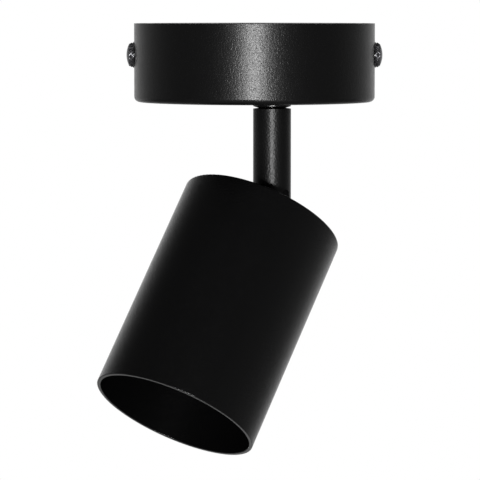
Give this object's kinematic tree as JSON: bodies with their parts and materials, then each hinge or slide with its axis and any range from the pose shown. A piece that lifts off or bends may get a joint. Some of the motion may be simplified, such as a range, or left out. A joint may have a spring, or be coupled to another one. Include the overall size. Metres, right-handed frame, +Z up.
{
  "type": "ceiling spotlight",
  "caption": "Black single ceiling spot: round canopy with knurled thumb screws, off-centre swivel stem and a plain cylinder head that tilts on a yoke, for a twist-lock reflector lamp.",
  "frame": {"origin": "middle of the canopy's ceiling face, at the centre of the bracket's two ceiling slots", "axes": "+Z up towards the ceiling, +X along the bracket to the viewer's right, -Y to the viewer"},
  "size_m": [0.0941, 0.0939, 0.1425],
  "materials": {
    "black_powder_coat": "fine satin powder coat",
    "black_knurled_metal": "knurled, black, semi-gloss",
    "black_screw_steel": "blackened steel",
    "zinc_plated_steel": "bright zinc plate",
    "brass": "turned",
    "tinned_copper": "tin plate",
    "white_nylon": "moulded",
    "steatite": "unglazed",
    "vulcanised_fibre": "pressed sheet",
    "black_nylon": "moulded",
    "black_rubber": "moulded",
    "glass_fibre_sleeve": "braided sleeve",
    "brown_insulation": "silicone",
    "blue_insulation": "silicone",
    "green_yellow_insulation": "striped silicone"
  },
  "bodies": {
    "canopy": {"canopy_cup": "black_powder_coat", "mounting_bracket": "black_powder_coat", "terminal_block": "white_nylon", "terminal_clamps": "brass", "terminal_screws": "zinc_plated_steel", "terminal_fixing_screw": "zinc_plated_steel", "earth_lug": "tinned_copper", "earth_screw": "zinc_plated_steel", "live_wire": "brown_insulation", "neutral_wire": "blue_insulation", "earth_wire": "green_yellow_insulation", "swivel_collar": "black_powder_coat", "fibre_washer": "vulcanised_fibre", "stop_pin": "zinc_plated_steel"},
    "left_screw": {"left_thumb_stud": "zinc_plated_steel"},
    "left_knob": {"left_thumb_knob": "black_knurled_metal"},
    "right_screw": {"right_thumb_stud": "zinc_plated_steel"},
    "right_knob": {"right_thumb_knob": "black_knurled_metal"},
    "stem": {"stem_tube": "black_powder_coat", "swivel_nipple": "black_screw_steel", "stop_washer": "zinc_plated_steel", "disc_spring": "zinc_plated_steel", "swivel_nut": "zinc_plated_steel", "jam_nut": "zinc_plated_steel", "stem_lead": "glass_fibre_sleeve"},
    "head": {"head_shell": "black_powder_coat", "hinge_yoke": "black_powder_coat", "pivot_pin": "black_screw_steel", "tilt_washers": "black_nylon", "tilt_spring_washer": "black_screw_steel", "tilt_screw": "black_screw_steel", "cable_grommet": "black_rubber", "lampholder_bracket": "zinc_plated_steel", "head_earth_lug": "tinned_copper", "lock_washer": "zinc_plated_steel", "yoke_screws": "zinc_plated_steel", "lampholder_cover": "steatite", "lampholder_body": "steatite", "lampholder_contacts": "tinned_copper", "lampholder_screws": "zinc_plated_steel", "hinge_lead": "glass_fibre_sleeve", "head_live_wire": "brown_insulation", "head_neutral_wire": "blue_insulation", "head_earth_wire": "green_yellow_insulation"}
  },
  "joints": [
    {"name": "swivel", "type": "hinge", "parent": "canopy", "child": "stem", "pos_m": [0.0059, 0.0059, -0.026], "axis": [0, 0, 1], "range_deg": [-120, 205]},
    {"name": "tilt", "type": "hinge", "parent": "stem", "child": "head", "pos_m": [0.0059, 0.0059, -0.0572], "axis": [-0.7361, 0.6769, 0], "range_deg": [-124, 56], "deforming": ["hinge_lead"]},
    {"name": "left_screw_travel", "type": "slide", "parent": "canopy", "child": "left_screw", "axis": [-1, 0, 0], "range_m": [0, 0.0042]},
    {"name": "left_knob_turn", "type": "hinge", "parent": "left_screw", "child": "left_knob", "pos_m": [-0.04, 0, -0.01045], "axis": [-1, 0, 0], "range_deg": [0, 2160]},
    {"name": "right_screw_travel", "type": "slide", "parent": "canopy", "child": "right_screw", "axis": [1, 0, 0], "range_m": [0, 0.0042]},
    {"name": "right_knob_turn", "type": "hinge", "parent": "right_screw", "child": "right_knob", "pos_m": [0.04, 0, -0.01045], "axis": [1, 0, 0], "range_deg": [0, 2160]}
  ],
  "couplings": [
    {"joint": "left_knob_turn", "follows": "left_screw_travel", "rad_per_m": 8976},
    {"joint": "right_knob_turn", "follows": "right_screw_travel", "rad_per_m": 8976}
  ]
}
